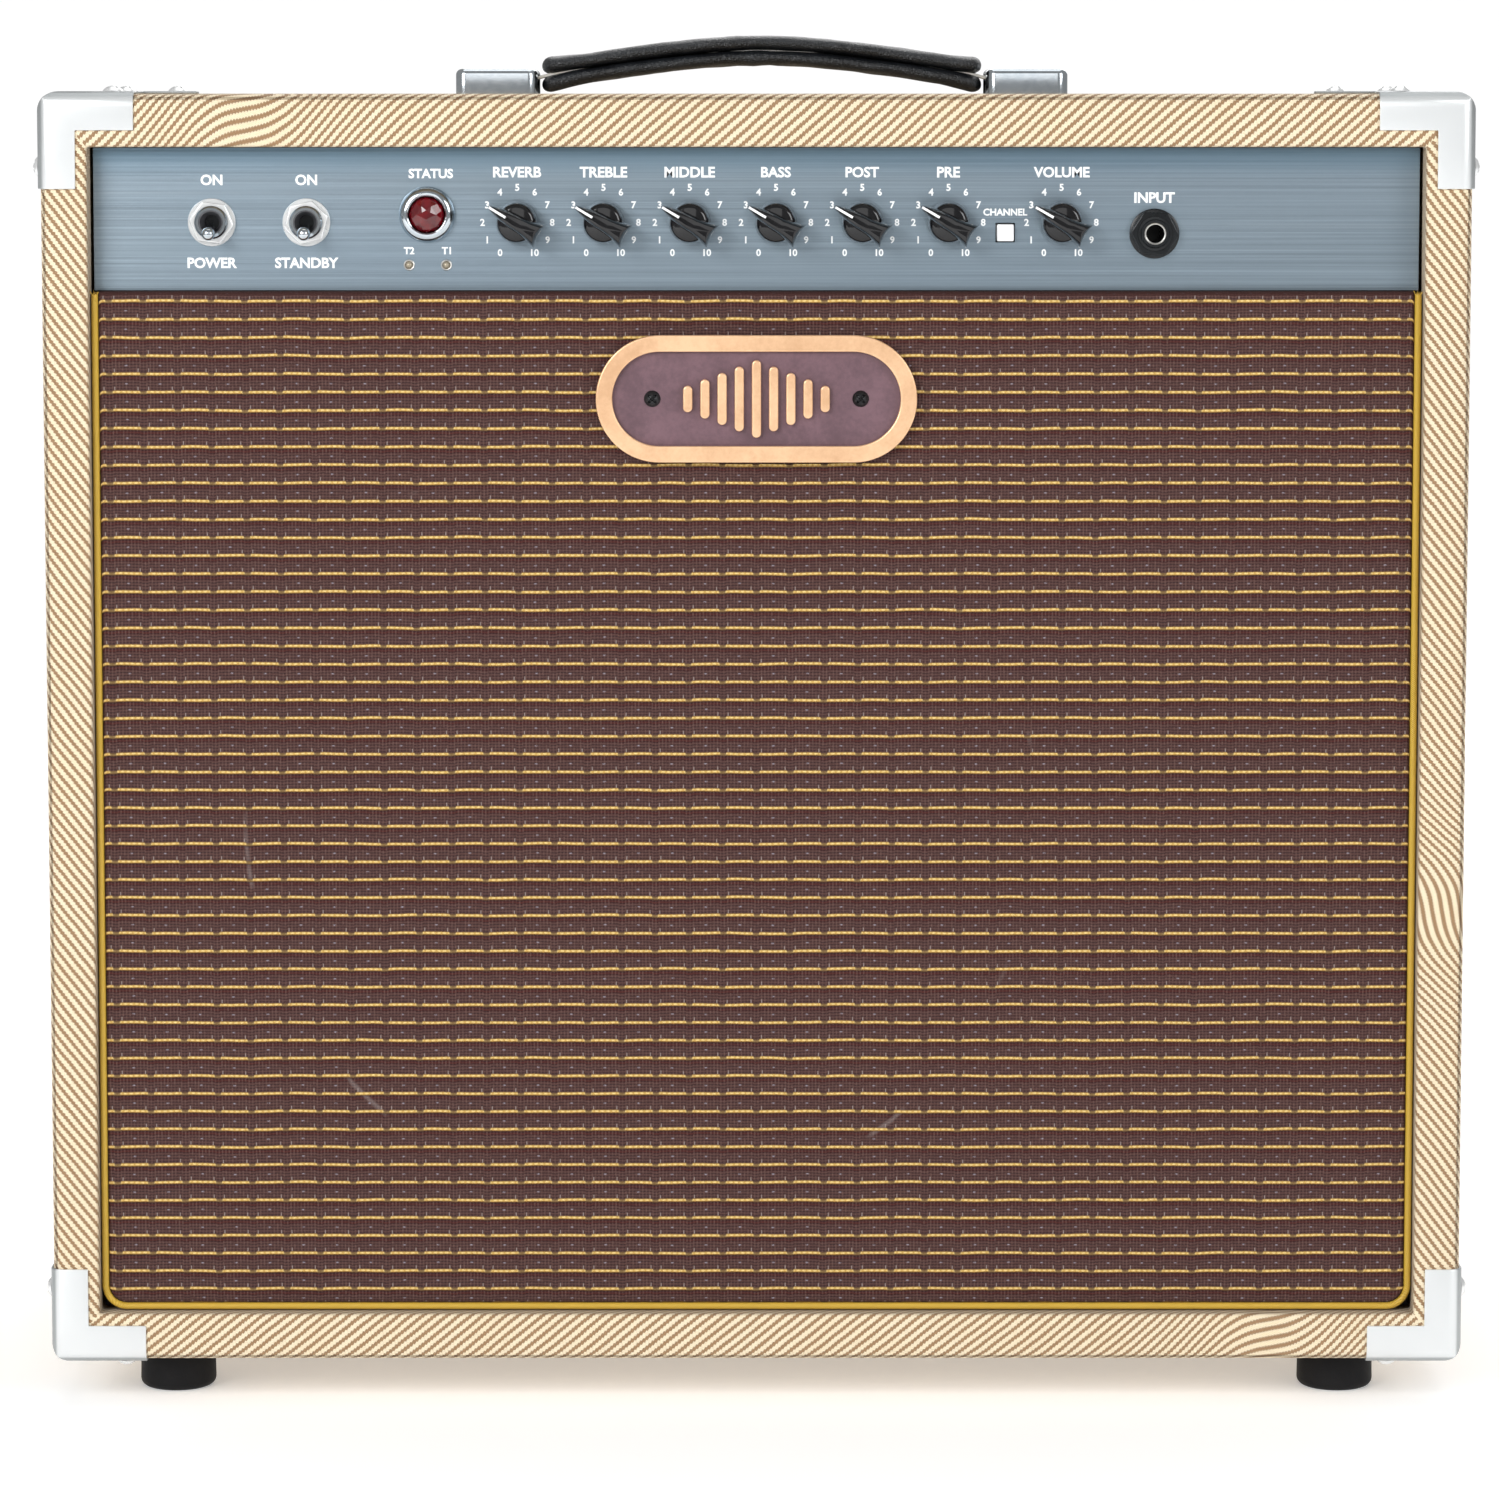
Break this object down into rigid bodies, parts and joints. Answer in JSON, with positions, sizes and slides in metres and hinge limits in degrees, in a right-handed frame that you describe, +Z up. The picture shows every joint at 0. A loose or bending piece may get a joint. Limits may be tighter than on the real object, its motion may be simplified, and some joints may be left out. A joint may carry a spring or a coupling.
{
  "type": "guitar amplifier",
  "caption": "Open-back combo guitar amplifier in striped tweed with a steel control panel, chicken-head knobs, lined grille cloth, metal corners and a strap handle.",
  "frame": {"origin": "bottom centre of the whole object's box, on the floor under the feet", "axes": "+X to the right seen from the front, the front faces -Y, +Z up"},
  "size_m": [0.521, 0.2454, 0.501],
  "materials": {
    "plywood": "birch plywood, light, sanded",
    "black_painted_wood": "matt black painted plywood",
    "tweed": "lacquered cream and brown diagonal tweed",
    "nickel": "polished nickel plate",
    "zinc_steel": "zinc-plated steel",
    "spring_steel": "bare spring steel strip",
    "black_screw": "black oxide screw",
    "black_rubber": "black moulded rubber",
    "grille_cloth": "oxblood grille cloth with gold lines",
    "gold_cord": "twisted gold piping cord",
    "plum_plastic": "plum backing plate",
    "copper_plate": "satin copper-coloured plate",
    "black_strap": "black grained vinyl strap",
    "chrome": "bright chrome plate",
    "brushed_panel": "brushed steel with a cool tone",
    "black_chassis": "black powder-coated steel",
    "knob_plastic": "glossy black phenolic",
    "red_jewel": "faceted red lens",
    "led_lens": "unlit smoky lens",
    "white_button": "white button cap",
    "black_plastic": "black moulded plastic",
    "circuit_board": "green solder mask",
    "transformer": "black varnished laminations",
    "ceramic": "unglazed ceramic",
    "tube_glass": "clear tube glass",
    "lead_sleeve": "red and black loudspeaker lead",
    "cork_gasket": "pressed cork gasket",
    "magnet_steel": "black ferrite and plated steel",
    "suspension_cloth": "doped cloth",
    "paper_cone": "dark pressed paper"
  },
  "bodies": {
    "cabinet": {"top_board": "plywood", "bottom_board": "plywood", "left_board": "plywood", "right_board": "plywood", "mounting_battens": "plywood", "grille_frame": "plywood", "speaker_baffle": "black_painted_wood", "tweed_covering": "tweed", "back_panel_upper": "tweed", "back_panel_lower": "tweed", "front_corner_caps": "nickel", "rear_corner_caps": "nickel", "corner_cap_screws": "nickel", "wood_screws": "zinc_steel", "badge_screws": "black_screw", "speaker_bolts": "zinc_steel", "rubber_feet": "black_rubber", "grille_cloth": "grille_cloth", "grille_piping": "gold_cord", "badge_backing": "plum_plastic", "badge_plate": "copper_plate", "handle_strap": "black_strap", "handle_core": "spring_steel", "handle_end_caps": "chrome", "control_panel": "brushed_panel", "chassis": "black_chassis", "potentiometers": "zinc_steel", "pot_nuts": "zinc_steel", "toggle_switches": "chrome", "toggle_nuts": "chrome", "pilot_bezel": "chrome", "pilot_jewel": "red_jewel", "status_leds": "led_lens", "channel_switch": "black_plastic", "input_jack": "black_plastic", "circuit_board": "circuit_board", "power_transformer": "transformer", "output_transformer": "transformer", "tube_sockets": "ceramic", "power_tubes": "tube_glass", "preamp_tubes": "tube_glass", "reverb_tank": "zinc_steel", "mains_inlet": "black_plastic", "rear_jacks": "black_plastic", "speaker_lead": "lead_sleeve", "speaker_basket": "black_chassis", "speaker_gasket": "cork_gasket", "speaker_magnet": "magnet_steel", "speaker_suspension": "suspension_cloth"},
    "reverb_knob": {"reverb_knob": "knob_plastic"},
    "treble_knob": {"treble_knob": "knob_plastic"},
    "middle_knob": {"middle_knob": "knob_plastic"},
    "bass_knob": {"bass_knob": "knob_plastic"},
    "post_gain_knob": {"post_gain_knob": "knob_plastic"},
    "pre_gain_knob": {"pre_gain_knob": "knob_plastic"},
    "volume_knob": {"volume_knob": "knob_plastic"},
    "power_lever": {"power_lever": "chrome"},
    "standby_lever": {"standby_lever": "chrome"},
    "channel_button": {"channel_button": "white_button"},
    "speaker_cone": {"speaker_cone": "paper_cone"}
  },
  "joints": [
    {"name": "reverb_turn", "type": "hinge", "parent": "cabinet", "child": "reverb_knob", "pos_m": [-0.0864, -0.1063, 0.4328], "axis": [0, 1, 0], "range_deg": [-90, 210]},
    {"name": "treble_turn", "type": "hinge", "parent": "cabinet", "child": "treble_knob", "pos_m": [-0.05525, -0.1063, 0.4328], "axis": [0, 1, 0], "range_deg": [-90, 210]},
    {"name": "middle_turn", "type": "hinge", "parent": "cabinet", "child": "middle_knob", "pos_m": [-0.0241, -0.1063, 0.4328], "axis": [0, 1, 0], "range_deg": [-90, 210]},
    {"name": "bass_turn", "type": "hinge", "parent": "cabinet", "child": "bass_knob", "pos_m": [0.00705, -0.1063, 0.4328], "axis": [0, 1, 0], "range_deg": [-90, 210]},
    {"name": "post_gain_turn", "type": "hinge", "parent": "cabinet", "child": "post_gain_knob", "pos_m": [0.0382, -0.1063, 0.4328], "axis": [0, 1, 0], "range_deg": [-90, 210]},
    {"name": "pre_gain_turn", "type": "hinge", "parent": "cabinet", "child": "pre_gain_knob", "pos_m": [0.06935, -0.1063, 0.4328], "axis": [0, 1, 0], "range_deg": [-90, 210]},
    {"name": "volume_turn", "type": "hinge", "parent": "cabinet", "child": "volume_knob", "pos_m": [0.1102, -0.1063, 0.4328], "axis": [0, 1, 0], "range_deg": [-90, 210]},
    {"name": "power_toggle", "type": "hinge", "parent": "cabinet", "child": "power_lever", "pos_m": [-0.1968, -0.1023, 0.4328], "axis": [-1, 0, 0], "range_deg": [0, 24]},
    {"name": "standby_toggle", "type": "hinge", "parent": "cabinet", "child": "standby_lever", "pos_m": [-0.1626, -0.1023, 0.4328], "axis": [-1, 0, 0], "range_deg": [0, 24]},
    {"name": "channel_push", "type": "slide", "parent": "cabinet", "child": "channel_button", "axis": [0, 1, 0], "range_m": [0, 0.0022], "stiffness_N_per_m": 150},
    {"name": "cone_travel", "type": "slide", "parent": "cabinet", "child": "speaker_cone", "axis": [0, 1, 0], "range_m": [-0.003, 0.003], "stiffness_N_per_m": 2000}
  ]
}
